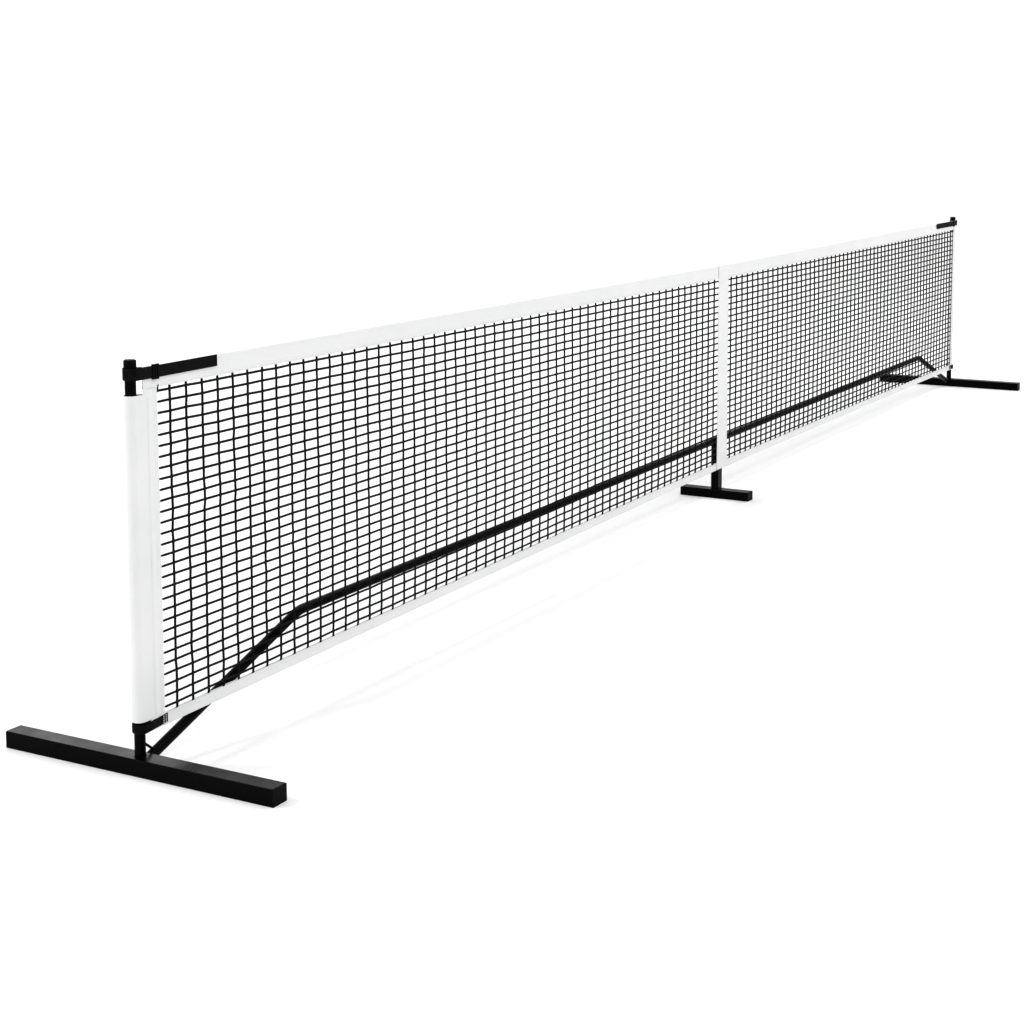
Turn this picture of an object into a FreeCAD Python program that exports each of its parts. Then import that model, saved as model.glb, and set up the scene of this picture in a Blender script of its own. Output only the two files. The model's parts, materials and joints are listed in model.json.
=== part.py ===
"""Portable pickleball net: two end bases with posts, a low tube frame with a centre foot, and a sleeved net.

X runs along the net, Y across it (the net hangs on the -Y side of the tubes) and Z is up. The origin is on
the floor, midway between the posts. All sizes are in millimetres.
"""
import FreeCAD, Part
import Sketcher
import math
import os

# name, size, what it is
DIMENSIONS = [
    ("post_spacing", 6706, "between the two post axes: 22 ft"),
    ("tube_outer", 12.5, "outer radius of posts and rails"),
    ("tube_inner", 11.0, "inner radius of posts and rails"),
    ("spigot_outer", 10.9, "outer radius of a swaged tube end"),
    ("spigot_inner", 9.4, "inner radius of a swaged tube end"),
    ("spigot_length", 60, "length of a swaged tube end"),
    ("swage_length", 6, "length of the taper inside a swaged end"),
    ("neck_length", 20, "straight neck of the bent rail above its swaged end"),
    ("base_length", 766, "end base bar, along Y"),
    ("base_width", 50, "end base bar, along X"),
    ("base_height", 40, "end base bar, along Z"),
    ("foot_length", 280, "centre foot bar, along Y"),
    ("foot_height", 34, "centre foot bar, along Z"),
    ("bar_wall", 2, "wall of the rectangular bars"),
    ("bar_round", 2.4, "outer corner radius of the rectangular bars"),
    ("cap_flange", 3, "visible thickness of a bar end cap"),
    ("cap_plug", 16, "depth of a bar end cap inside the bar"),
    ("cap_slack", 0.2, "clearance round an end cap's plug"),
    ("stub_top", 110, "top rim of the post stub above the floor"),
    ("post_top", 915, "top rim of the post above the floor"),
    ("post_cap_radius", 14, "outer radius of the post cap"),
    ("post_cap_height", 17, "height of the post cap above the tube"),
    ("post_cap_plug", 15, "depth of the post cap inside the tube"),
    ("post_cap_bevel", 2.5, "bevel round the post cap's top"),
    ("rail_height", 225, "axis of the level rails above the floor"),
    ("rail_angle", 19, "slope of the rail's rising leg, degrees"),
    ("socket_height", 25.4, "axis of the rail socket where it meets the base bar"),
    ("socket_length", 75, "length of the rail socket along its axis"),
    ("bend_radius", 130, "radius of the rail's bend, on its axis"),
    ("level_leg", 560, "from the bend's corner to the bent rail's level end"),
    ("gusset_radius", 3, "radius of the gusset rod"),
    ("gusset_height", 76, "where the gusset's axis meets the post axis"),
    ("gusset_angle", 38.3, "fall of the gusset rod, degrees"),
    ("gusset_length", 66, "from the post axis to the socket axis"),
    ("coupler_outer", 14.5, "outer radius of the centre coupler"),
    ("coupler_inner", 12.7, "inner radius of the centre coupler"),
    ("coupler_half", 60, "half the length of the centre coupler"),
    ("rail_gap", 5, "from the middle of the coupler to a rail's end"),
    ("centre_stub_x", 40, "centre stub, along X"),
    ("centre_stub_y", 30, "centre stub, along Y"),
    ("saddle_depth", 4, "how far the stub and the pole socket reach round the coupler"),
    ("button_radius", 3.1, "snap button"),
    ("button_hole", 3.5, "radius of the holes for a snap button"),
    ("button_inset", 30, "from a joint's mouth to its snap button"),
    ("button_proud", 2.5, "how far a button stands out of the outer tube"),
    ("button_bevel", 1.2, "bevel round a button's face"),
    ("button_seat", 0.7, "from the inner tube's bore to a button's foot"),
    ("spring_play", 0.1, "between a button's foot and its spring"),
    ("spring_width", 6, "width of the V spring leaf"),
    ("spring_leaf", 0.8, "thickness of the V spring leaf"),
    ("spring_reach", 42, "from the button to the V spring's fold"),
    ("pole_offset", 7.5, "centre pole, towards the net from the rail axis"),
    ("pole_radius", 6, "centre pole"),
    ("pole_wall", 1.2, "wall of the centre pole"),
    ("pole_socket_outer", 8, "outer radius of the pole socket"),
    ("pole_slack", 0.2, "clearance round the pole in its socket"),
    ("pole_foot", 240, "lower end of the centre pole above the floor"),
    ("pole_socket_top", 272, "top rim of the pole socket above the floor"),
    ("pole_top", 886, "top of the pole tube above the floor"),
    ("pole_tip_height", 7, "rounded tip above the pole tube"),
    ("pole_tip_plug", 12, "depth of the tip inside the pole tube"),
    ("net_offset", 18, "net plane, towards -Y from the post axes"),
    ("tape_thickness", 3.2, "folded tape and side band"),
    ("mesh_thickness", 1.2, "flat thickness that stands for the knotless mesh"),
    ("net_end_top", 914, "top edge of the net at its ends: 36 in"),
    ("net_mid_top", 902, "top edge of the net at the middle"),
    ("net_end_low", 95, "lower edge of the net at its ends"),
    ("net_mid_low", 115, "lower edge of the net at the middle"),
    ("top_tape", 48, "height of the top tape"),
    ("bottom_tape", 28, "height of the bottom tape"),
    ("tape_stop", 18.5, "from a post axis to the end of the tapes"),
    ("band_reach", 62, "from a post axis to the side band's inner edge"),
    ("sleeve_inner", 14.8, "inner radius of the post sleeve"),
    ("sleeve_outer", 17.6, "outer radius of the post sleeve"),
    ("sleeve_low", 120, "lower end of the post sleeve"),
    ("sleeve_high", 853, "upper end of the post sleeve"),
    ("seam_gap", 0.3, "between sewn pieces that lie edge to edge"),
    ("centre_strap_half", 50, "half the width of the centre strap"),
    ("centre_strap_front", 3.2, "centre strap's middle plane in front of the net plane"),
    ("centre_strap_thickness", 2.4, "centre strap"),
    ("pole_sleeve_inner", 6.5, "inner radius of the pole sleeve"),
    ("pole_sleeve_outer", 7.7, "outer radius of the pole sleeve"),
    ("pole_sleeve_low", 276, "lower end of the pole sleeve"),
    ("pole_sleeve_high", 880, "upper end of the pole sleeve"),
    ("strap_thickness", 2, "tension webbing"),
    ("strap_loop", 14.8, "inner radius of a webbing loop round a post"),
    ("top_strap_width", 27, "upper webbing, along Z"),
    ("top_strap_low", 887, "lower edge of the upper webbing"),
    ("top_strap_reach", 272, "from the left post axis to the upper webbing's end"),
    ("long_strap_reach", 400, "from the right post axis to its upper webbing's end, pulled in less"),
    ("top_strap_front", 4.4, "upper webbing's middle plane in front of the net plane"),
    ("low_strap_width", 21, "lower webbing, along Z"),
    ("low_strap_low", 95.5, "lower edge of the lower webbing"),
    ("low_strap_reach", 70, "from a post axis to the lower webbing's end"),
    ("low_strap_front", 3.2, "lower webbing's middle plane in front of the net plane"),
    ("slider_place", 57, "from a post axis to the middle of the slider"),
    ("slider_length", 20, "slider, along X"),
    ("slider_height", 34, "slider, along Z"),
    ("slider_depth", 5, "slider, along Y"),
    ("slider_slack", 0.3, "clearance between slider and webbing"),
    ("slider_slot", 4.5, "width of each slot in the slider's face"),
]

doc = FreeCAD.newDocument("portable_net")
dims = doc.addObject("Spreadsheet::Sheet", "dims")
for row, (name, size, meaning) in enumerate(DIMENSIONS, start=1):
    dims.set(f"A{row}", name)
    dims.set(f"B{row}", str(size))
    dims.set(f"C{row}", meaning)
    dims.setAlias(f"B{row}", name)
doc.recompute()

X_AXIS = FreeCAD.Vector(1, 0, 0)
Y_AXIS = FreeCAD.Vector(0, 1, 0)
Z_AXIS = FreeCAD.Vector(0, 0, 1)

# Places that several pieces share, as expressions on the sheet.
POST_X = "dims.post_spacing / 2"
LEFT_X = "-dims.post_spacing / 2"
SOCKET_X = f"{LEFT_X} + dims.base_width / 2"
RISE = "(dims.rail_height - dims.socket_height)"
CORNER_X = f"{SOCKET_X} + {RISE} / tan(dims.rail_angle)"
BEND_END = f"{CORNER_X} + dims.level_leg"
RAIL_END = "-dims.rail_gap"
RAIL_JOINT = f"({BEND_END} + {RAIL_END}) / 2"
TAPE_END = f"({POST_X} - dims.tape_stop)"
BAND_EDGE = f"({POST_X} - dims.band_reach)"
BEND_TRIM = "dims.bend_radius * tan(dims.rail_angle / 2)"
RISING_LEG = f"({RISE} / sin(dims.rail_angle) - dims.socket_length)"
COUPLER_BUTTON = "dims.button_inset - dims.coupler_half"

pieces = {}


def value(expression):
    """The size in millimetres, or the angle in degrees, that an expression on the sheet gives now."""
    result = dims.evalExpression(expression)
    return float(getattr(result, "Value", result))


def bind(thing, **expressions):
    """Ties properties to expressions. A double underscore in a name stands for a dot."""
    for name, expression in expressions.items():
        thing.setExpression(name.replace("__", "."), expression)
    return thing


def place(thing, x="0", y="0", z="0", axis=Z_AXIS, angle="0"):
    """Turns a piece about an axis of its own origin and moves it to (x, y, z)."""
    thing.Placement = FreeCAD.Placement(
        FreeCAD.Vector(value(x), value(y), value(z)), FreeCAD.Rotation(axis, value(angle))
    )
    spots = {"Placement__Base__x": x, "Placement__Base__y": y, "Placement__Base__z": z}
    return bind(thing, **{name: spot for name, spot in spots.items() if spot != "0"})


def keep(label, thing):
    """Names a finished piece."""
    thing.Label = label
    pieces[label] = thing
    return thing


def new_body(name):
    return doc.addObject("PartDesign::Body", name)


def new_sketch(body, name, plane):
    sketch = body.newObject("Sketcher::SketchObject", name)
    support = next(item for item in body.Origin.OriginFeatures if item.Role == plane)
    sketch.AttachmentSupport = [(support, "")]
    sketch.MapMode = "FlatFace"
    return sketch


def fix_point(sketch, line, spot, name, pair):
    """Holds a point of a sketch at two expressions measured from the sketch's origin."""
    for kind, axis_line, expression in (("DistanceX", -2, pair[0]), ("DistanceY", -1, pair[1])):
        size = value(expression)
        if abs(size) < 1e-9:
            sketch.addConstraint(Sketcher.Constraint("PointOnObject", line, spot, axis_line))
            continue
        ends = (-1, 1, line, spot) if size > 0 else (line, spot, -1, 1)
        index = sketch.addConstraint(Sketcher.Constraint(kind, *ends, abs(size)))
        label = f"{name}_{kind[-1].lower()}"
        sketch.renameConstraint(index, label)
        sketch.setExpression(f"Constraints.{label}", expression if size > 0 else f"-({expression})")


def add_outline(sketch, name, points):
    """A closed outline of straight lines through pairs of expressions."""
    corners = [FreeCAD.Vector(value(x), value(y), 0) for x, y in points]
    first = sketch.GeometryCount
    count = len(corners)
    for i, corner in enumerate(corners):
        sketch.addGeometry(Part.LineSegment(corner, corners[(i + 1) % count]))
    for i in range(count):
        following = first + (i + 1) % count
        sketch.addConstraint(Sketcher.Constraint("Coincident", first + i, 2, following, 1))
    for i, pair in enumerate(points):
        fix_point(sketch, first + i, 1, f"{name}{i}", pair)


def rectangle(x_low, x_high, y_low, y_high):
    return [(x_low, y_low), (x_high, y_low), (x_high, y_high), (x_low, y_high)]


def extruded(name, plane, length, *outlines):
    """A body padded to both sides of one of its origin planes. A second outline is a hole."""
    body = new_body(name)
    sketch = new_sketch(body, f"{name}_outline", plane)
    for i, outline in enumerate(outlines):
        add_outline(sketch, f"loop{i}_", outline)
    pad = body.newObject("PartDesign::Pad", f"{name}_pad")
    pad.Profile = sketch
    pad.Midplane = True
    bind(pad, Length=length)
    return body


def turned(name, outline):
    """A body revolved about its own X axis from (distance along the axis, radius) pairs."""
    body = new_body(name)
    sketch = new_sketch(body, f"{name}_section", "XZ_Plane")
    add_outline(sketch, "corner", outline)
    spin = body.newObject("PartDesign::Revolution", f"{name}_turn")
    spin.Profile = sketch
    spin.ReferenceAxis = (sketch, ["H_Axis"])
    spin.Angle = 360
    return body


def round_long_edges(body, along, radius, inner_limit):
    """Rounds the outer long edges of a body: those parallel to an axis and far from its middle."""
    doc.recompute()
    base = body.Tip
    names = []
    for i, edge in enumerate(base.Shape.Edges, start=1):
        run = edge.Vertexes[-1].Point - edge.Vertexes[0].Point
        middle = edge.CenterOfMass
        off_axis = (middle - along * middle.dot(along)).Length
        if run.Length > 1 and abs(run.normalize().dot(along)) > 0.999 and off_axis > inner_limit:
            names.append(f"Edge{i}")
    fillet = body.newObject("PartDesign::Fillet", f"{body.Name}_round")
    fillet.Base = (base, names)
    bind(fillet, Radius=radius)
    return body


def drill(body, name, x, z):
    """One hole for a snap button, through the wall on the +Y side only."""
    doc.recompute()
    before = body.Shape.Volume
    sketch = new_sketch(body, f"{name}_spot", "XZ_Plane")
    centre = FreeCAD.Vector(value(x), value(z), 0)
    sketch.addGeometry(Part.Circle(centre, Z_AXIS, value("dims.button_hole")))
    index = sketch.addConstraint(Sketcher.Constraint("Radius", 0, value("dims.button_hole")))
    sketch.renameConstraint(index, "hole_radius")
    sketch.setExpression("Constraints.hole_radius", "dims.button_hole")
    fix_point(sketch, 0, 3, "hole", (x, z))
    pocket = body.newObject("PartDesign::Pocket", f"{name}_hole")
    pocket.Profile = sketch
    pocket.Reversed = False
    bind(pocket, Length="2 * dims.coupler_outer")
    doc.recompute()
    if not 0 < before - body.Shape.Volume < 200:
        raise RuntimeError(f"{name}: the hole took {before - body.Shape.Volume:.1f} mm3")
    return body


def cylinder(name, radius, height, x="0", y="0", z="0", axis=Z_AXIS, angle="0"):
    shape = bind(doc.addObject("Part::Cylinder", name), Radius=radius, Height=height)
    return place(shape, x, y, z, axis, angle)


def box(name, size, corner):
    shape = doc.addObject("Part::Box", name)
    bind(shape, Length=size[0], Width=size[1], Height=size[2])
    return place(shape, *corner)


def cut(name, base, tool):
    result = doc.addObject("Part::Cut", name)
    result.Base = base
    result.Tool = tool
    return result


def fuse(name, *parts):
    result = doc.addObject("Part::MultiFuse", name)
    result.Shapes = list(parts)
    return result


def swaged_outline(length):
    """Half section of a tube from 0 to length, with a reduced end from 0 to -spigot_length."""
    return [
        ("-dims.spigot_length", "dims.spigot_inner"),
        ("-dims.spigot_length", "dims.spigot_outer"),
        ("0", "dims.spigot_outer"),
        ("0", "dims.tube_outer"),
        (length, "dims.tube_outer"),
        (length, "dims.tube_inner"),
        ("dims.swage_length", "dims.tube_inner"),
        ("0", "dims.spigot_inner"),
    ]


def tube_outline(start, end, inner, outer):
    """Half section of a plain tube, along the axis from start to end."""
    return [(start, inner), (start, outer), (end, outer), (end, inner)]


def upright(thing, x="0", y="0", z="0"):
    """Stands a turned piece up, so that its own X axis points up."""
    return place(thing, x, y, z, Y_AXIS, "-90")


def mirrored(name, source, normal):
    """The mirror image of a placed piece in a plane through the origin."""
    image = doc.addObject("Part::Mirroring", name)
    image.Source = source
    image.Normal = normal
    return image


def bar_with_caps(label, height, length):
    """A rectangular tube that lies along Y on the floor, closed by a plug at each end."""
    half_x = "dims.base_width / 2"
    half_z = f"{height} / 2"
    inner_x = f"{half_x} - dims.bar_wall"
    inner_z = f"{half_z} - dims.bar_wall"
    tube = f"{length} - 2 * dims.cap_flange"
    outer = rectangle(f"-{half_x}", half_x, f"-{half_z}", half_z)
    hollow = rectangle(f"-({inner_x})", inner_x, f"-({inner_z})", inner_z)
    bar = extruded(f"{label}_bar", "XZ_Plane", tube, outer, hollow)
    corner = math.hypot(value(half_x), value(half_z))
    round_long_edges(bar, Y_AXIS, "dims.bar_round", corner - 1)

    plug_x = f"{inner_x} - dims.cap_slack"
    plug_z = f"{inner_z} - dims.cap_slack"
    flange = extruded(f"{label}_flange", "XZ_Plane", "dims.cap_flange", outer)
    round_long_edges(flange, Y_AXIS, "dims.bar_round", corner - 1)
    plug_outline = rectangle(f"-({plug_x})", plug_x, f"-({plug_z})", plug_z)
    plug = extruded(f"{label}_plug", "XZ_Plane", "dims.cap_plug", plug_outline)
    place(plug, y="(dims.cap_flange + dims.cap_plug) / 2")
    return bar, fuse(f"{label}_cap", flange, plug)


def end_base():
    """The bar across the net line, its two end caps and the stub that the post stands in."""
    middle_z = "dims.base_height / 2"
    end_y = "(dims.base_length - dims.cap_flange) / 2"
    bar, front_cap = bar_with_caps("end_base", "dims.base_height", "dims.base_length")
    keep("left_base_bar", place(bar, x=LEFT_X, z=middle_z))
    keep("left_base_cap_front", place(front_cap, x=LEFT_X, y=f"-{end_y}", z=middle_z))
    keep("left_base_cap_back", mirrored("end_base_back_cap", front_cap, Y_AXIS))

    stub = turned("post_stub", tube_outline(
        "dims.base_height", "dims.stub_top", "dims.tube_inner", "dims.tube_outer"))
    keep("left_post_stub", upright(stub, x=LEFT_X))


def rail_socket():
    """The rising socket, cut off flush against the base bar, and the gusset rod above it."""
    tube = turned("rail_socket_tube", tube_outline(
        "-dims.tube_outer", "dims.socket_length", "dims.tube_inner", "dims.tube_outer"))
    drill(tube, "socket_tube", "dims.socket_length - dims.button_inset", "0")
    place(tube, x=SOCKET_X, z="dims.socket_height", axis=Y_AXIS, angle="-dims.rail_angle")
    beside_bar = box(
        "beside_bar",
        ("dims.base_width", "dims.base_width", "2 * dims.base_height"),
        (f"{LEFT_X} - dims.base_width / 2", "-dims.base_width / 2", "0"),
    )
    keep("left_rail_socket", cut("rail_socket", tube, beside_bar))

    rod = cylinder(
        "gusset_blank", "dims.gusset_radius", "dims.gusset_length",
        x=LEFT_X, z="dims.gusset_height", axis=Y_AXIS, angle="90 + dims.gusset_angle",
    )
    post_side = cylinder("gusset_post_side", "dims.tube_outer", "dims.stub_top", x=LEFT_X)
    socket_side = cylinder(
        "gusset_socket_side", "dims.tube_outer", "2 * dims.socket_length",
        x=SOCKET_X, z="dims.socket_height", axis=Y_AXIS, angle="90 - dims.rail_angle",
    )
    trimmed = cut("gusset_trimmed", rod, post_side)
    keep("left_gusset_rod", cut("gusset_rod", trimmed, socket_side))


def bent_rail():
    """The rail that rises from the socket, bends and runs level. Its own origin is at its level end."""
    body = new_body("bent_pipe")
    path = new_sketch(body, "bent_path", "XZ_Plane")
    angle = math.radians(value("dims.rail_angle"))
    radius = value("dims.bend_radius")
    level = f"dims.level_leg - {BEND_TRIM}"
    rising = f"({RISING_LEG} - dims.neck_length)"
    end_x = f"-dims.level_leg - {rising} * cos(dims.rail_angle)"
    end_z = f"-{rising} * sin(dims.rail_angle)"
    start = FreeCAD.Vector(0, 0, 0)
    bend_start = FreeCAD.Vector(-value(level), 0, 0)
    centre = bend_start - FreeCAD.Vector(0, radius, 0)
    bend = Part.ArcOfCircle(Part.Circle(centre, Z_AXIS, radius), math.pi / 2, math.pi / 2 + angle)
    end = FreeCAD.Vector(value(end_x), value(end_z), 0)
    path.addGeometry(Part.LineSegment(start, bend_start))
    path.addGeometry(bend)
    path.addGeometry(Part.LineSegment(bend.EndPoint, end))
    path.addConstraint(Sketcher.Constraint("Coincident", 0, 1, -1, 1))
    path.addConstraint(Sketcher.Constraint("Horizontal", 0))
    path.addConstraint(Sketcher.Constraint("Tangent", 0, 2, 1, 1))
    path.addConstraint(Sketcher.Constraint("Tangent", 1, 2, 2, 1))
    fix_point(path, 2, 2, "foot", (end_x, end_z))
    for kind, expression in (("Distance", level), ("Radius", "dims.bend_radius")):
        line = 0 if kind == "Distance" else 1
        index = path.addConstraint(Sketcher.Constraint(kind, line, value(expression)))
        path.renameConstraint(index, f"path_{kind.lower()}")
        path.setExpression(f"Constraints.path_{kind.lower()}", expression)

    ring = new_sketch(body, "bent_ring", "YZ_Plane")
    for name in ("tube_outer", "tube_inner"):
        line = ring.addGeometry(Part.Circle(start, Z_AXIS, value(f"dims.{name}")))
        ring.addConstraint(Sketcher.Constraint("Coincident", line, 3, -1, 1))
        index = ring.addConstraint(Sketcher.Constraint("Radius", line, value(f"dims.{name}")))
        ring.renameConstraint(index, name)
        ring.setExpression(f"Constraints.{name}", f"dims.{name}")
    pipe = body.newObject("PartDesign::AdditivePipe", "bent_sweep")
    pipe.Profile = ring
    pipe.Spine = (path, ["Edge1", "Edge2", "Edge3"])
    drill(body, "bent_level", "-dims.button_inset", "0")
    place(body, x=BEND_END, z="dims.rail_height")

    neck = turned("bent_neck", swaged_outline("dims.neck_length"))
    drill(neck, "neck", "-dims.button_inset", "0")
    place(
        neck,
        x=f"{SOCKET_X} + dims.socket_length * cos(dims.rail_angle)",
        z="dims.socket_height + dims.socket_length * sin(dims.rail_angle)",
        axis=Y_AXIS, angle="-dims.rail_angle",
    )
    keep("left_bent_rail", fuse("bent_rail", body, neck))


def level_rail(label, shoulder, end, far_hole):
    """A straight rail whose swaged end goes in the tube outside it, up to the shoulder."""
    rail = turned(label, swaged_outline(f"{end} - ({shoulder})"))
    drill(rail, f"{label}_near", "-dims.button_inset", "0")
    drill(rail, f"{label}_far", f"{far_hole} - ({shoulder})", "0")
    keep(f"left_{label}", place(rail, x=shoulder, z="dims.rail_height"))


def snap_button(label, bore, outer_wall, x, z):
    """The button's own X axis points out of the tube, which is +Y on the finished net."""
    foot = f"{bore} - dims.button_seat"
    top = f"{outer_wall} + dims.button_proud"
    button = turned(f"{label}_button", [
        (foot, "0"),
        (foot, "dims.button_radius"),
        (f"{top} - dims.button_bevel", "dims.button_radius"),
        (top, "dims.button_radius - dims.button_bevel"),
        (top, "0"),
    ])
    keep(f"left_{label}_button", place(button, x=x, z=z, axis=Z_AXIS, angle="90"))


def spring_leaf(label, bore, x, z, angle):
    """A V of flat spring steel inside the tube: one leg under the button, the other on the far wall."""
    seat = f"{bore} - dims.button_seat - dims.spring_play"
    half_pad = "dims.button_radius + dims.spring_leaf"
    leaf = extruded(f"{label}_leaf", "XY_Plane", "dims.spring_width", [
        (f"-({half_pad})", seat),
        (half_pad, seat),
        ("dims.spring_reach", "0"),
        (f"-({half_pad})", f"-({seat})"),
        (f"-({half_pad})", f"dims.spring_leaf - ({seat})"),
        ("dims.spring_reach - 4 * dims.spring_leaf", "0"),
        (half_pad, f"{seat} - dims.spring_leaf"),
        (f"-({half_pad})", f"{seat} - dims.spring_leaf"),
    ])
    keep(f"left_{label}_spring", place(leaf, x=x, z=z, axis=Y_AXIS, angle=angle))


def tube_joints():
    """Snap buttons and their springs at the four joints on one side."""
    along_socket = "(dims.socket_length - dims.button_inset)"
    socket_x = f"{SOCKET_X} + {along_socket} * cos(dims.rail_angle)"
    socket_z = f"dims.socket_height + {along_socket} * sin(dims.rail_angle)"
    level = "dims.rail_height"
    spots = [
        ("socket", "dims.spigot_inner", "dims.tube_outer", socket_x, socket_z, "-dims.rail_angle"),
        ("bend", "dims.spigot_inner", "dims.tube_outer", f"{BEND_END} - dims.button_inset", level, "0"),
        ("rail", "dims.spigot_inner", "dims.tube_outer", f"{RAIL_JOINT} - dims.button_inset", level, "0"),
        ("coupler", "dims.tube_inner", "dims.coupler_outer", COUPLER_BUTTON, level, "180"),
    ]
    for label, bore, outer_wall, x, z, angle in spots:
        snap_button(label, bore, outer_wall, x, z)
        spring_leaf(label, bore, x, z, angle)


def post():
    """The tube that stands in the stub, with its cap."""
    tube = turned("post_tube", swaged_outline("dims.post_top - dims.stub_top"))
    keep("left_post", upright(tube, x=LEFT_X, z="dims.stub_top"))
    cap = turned("post_cap", [
        ("-dims.post_cap_plug", "0"),
        ("-dims.post_cap_plug", "dims.spigot_outer"),
        ("0", "dims.spigot_outer"),
        ("0", "dims.post_cap_radius"),
        ("dims.post_cap_height - dims.post_cap_bevel", "dims.post_cap_radius"),
        ("dims.post_cap_height", "dims.post_cap_radius - dims.post_cap_bevel"),
        ("dims.post_cap_height", "0"),
    ])
    keep("left_post_cap", upright(cap, x=LEFT_X, z="dims.post_top"))


def centre_support():
    """The foot, stub and coupler under the middle, and the pole that props the net up."""
    foot, front_cap = bar_with_caps("centre_foot", "dims.foot_height", "dims.foot_length")
    middle_z = "dims.foot_height / 2"
    end_y = "(dims.foot_length - dims.cap_flange) / 2"
    keep("centre_foot_bar", place(foot, z=middle_z))
    keep("centre_foot_cap_front", place(front_cap, y=f"-{end_y}", z=middle_z))
    keep("centre_foot_cap_back", mirrored("centre_foot_back_cap", front_cap, Y_AXIS))

    coupler = turned("coupler", tube_outline(
        "-dims.coupler_half", "dims.coupler_half", "dims.coupler_inner", "dims.coupler_outer"))
    drill(coupler, "coupler_left", COUPLER_BUTTON, "0")
    drill(coupler, "coupler_right", f"-({COUPLER_BUTTON})", "0")
    keep("centre_coupler", place(coupler, z="dims.rail_height"))
    coupler_space = cylinder(
        "coupler_space", "dims.coupler_outer", "2 * dims.coupler_half",
        x="-dims.coupler_half", z="dims.rail_height", axis=Y_AXIS, angle="90",
    )

    half_x = "dims.centre_stub_x / 2"
    half_y = "dims.centre_stub_y / 2"
    inner_x = f"{half_x} - dims.bar_wall"
    inner_y = f"{half_y} - dims.bar_wall"
    stub_top = "(dims.rail_height - dims.coupler_outer + dims.saddle_depth)"
    stub = extruded(
        "centre_stub_tube", "XY_Plane", f"{stub_top} - dims.foot_height",
        rectangle(f"-{half_x}", half_x, f"-{half_y}", half_y),
        rectangle(f"-({inner_x})", inner_x, f"-({inner_y})", inner_y),
    )
    round_long_edges(stub, Z_AXIS, "dims.bar_round", math.hypot(value(half_x), value(half_y)) - 1)
    place(stub, z=f"({stub_top} + dims.foot_height) / 2")
    keep("centre_stub", cut("centre_stub_saddled", stub, coupler_space))

    socket_inner = "dims.pole_radius + dims.pole_slack"
    socket_low = "dims.rail_height + dims.saddle_depth"
    socket = turned("pole_socket_tube", tube_outline(
        socket_low, "dims.pole_socket_top", socket_inner, "dims.pole_socket_outer"))
    upright(socket, y="-dims.pole_offset")
    keep("centre_pole_socket", cut("pole_socket", socket, coupler_space))

    pole_bore = "dims.pole_radius - dims.pole_wall"
    pole = turned("pole_tube", tube_outline(
        "dims.pole_foot", "dims.pole_top", pole_bore, "dims.pole_radius"))
    keep("centre_pole", upright(pole, y="-dims.pole_offset"))
    tip = turned("pole_tip", [
        ("-dims.pole_tip_plug", "0"),
        ("-dims.pole_tip_plug", pole_bore),
        ("0", pole_bore),
        ("0", "dims.pole_radius"),
        ("dims.pole_tip_height / 2", "dims.pole_radius"),
        ("dims.pole_tip_height", "dims.pole_radius / 2"),
        ("dims.pole_tip_height", "0"),
    ])
    keep("centre_pole_tip", upright(tip, y="-dims.pole_offset", z="dims.pole_top"))


def net_tapes():
    """The tapes along the top and the bottom edge, and the mesh between them."""
    top_end, top_mid = "dims.net_end_top", "dims.net_mid_top"
    low_end, low_mid = "dims.net_end_low", "dims.net_mid_low"
    mesh_x = f"({BAND_EDGE} - dims.seam_gap)"
    slope_share = f"{mesh_x} / {TAPE_END}"
    upper = f"{top_mid} - dims.top_tape - dims.seam_gap"
    lower = f"{low_mid} + dims.bottom_tape + dims.seam_gap"
    upper_end = f"{upper} + ({top_end} - {top_mid}) * {slope_share}"
    lower_end = f"{lower} + ({low_end} - {low_mid}) * {slope_share}"
    tape = "dims.tape_thickness"
    outlines = {
        "top_tape": (tape, TAPE_END, (f"{top_end} - dims.top_tape", top_end),
                     (f"{top_mid} - dims.top_tape", top_mid)),
        "bottom_tape": (tape, TAPE_END, (low_end, f"{low_end} + dims.bottom_tape"),
                        (low_mid, f"{low_mid} + dims.bottom_tape")),
        "net_mesh": ("dims.mesh_thickness", mesh_x, (lower_end, upper_end), (lower, upper)),
    }
    for label, (thickness, reach, at_end, at_middle) in outlines.items():
        strip = extruded(f"{label}_strip", "XZ_Plane", thickness, [
            (f"-{reach}", at_end[0]),
            ("0", at_middle[0]),
            (reach, at_end[0]),
            (reach, at_end[1]),
            ("0", at_middle[1]),
            (f"-{reach}", at_end[1]),
        ])
        keep(label, place(strip, y="-dims.net_offset"))


def side_band():
    """The band at the net's end: a sleeve round the post, and the flap that the mesh is sewn to."""
    sleeve_height = "dims.sleeve_high - dims.sleeve_low"
    outside = cylinder("sleeve_outside", "dims.sleeve_outer", sleeve_height, x=LEFT_X, z="dims.sleeve_low")
    inside = cylinder("sleeve_inside", "dims.sleeve_inner", sleeve_height, x=LEFT_X, z="dims.sleeve_low")
    tube = cut("sleeve_tube", outside, inside)
    back_y = "-dims.net_offset - dims.tape_thickness / 2"
    neck_end = "dims.tape_stop - dims.seam_gap"
    neck_size = (neck_end, "dims.tape_thickness", sleeve_height)
    neck = box("band_neck", neck_size, (LEFT_X, back_y, "dims.sleeve_low"))
    flap_low = "(dims.net_end_low + dims.bottom_tape + 2 * dims.seam_gap)"
    flap_high = "(dims.net_end_top - dims.top_tape - 2 * dims.seam_gap)"
    flap = box(
        "band_flap",
        (f"dims.band_reach - ({neck_end})", "dims.tape_thickness", f"{flap_high} - {flap_low}"),
        (f"{LEFT_X} + {neck_end}", back_y, flap_low),
    )
    keep("left_side_band", fuse("side_band", tube, neck, flap))


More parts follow.
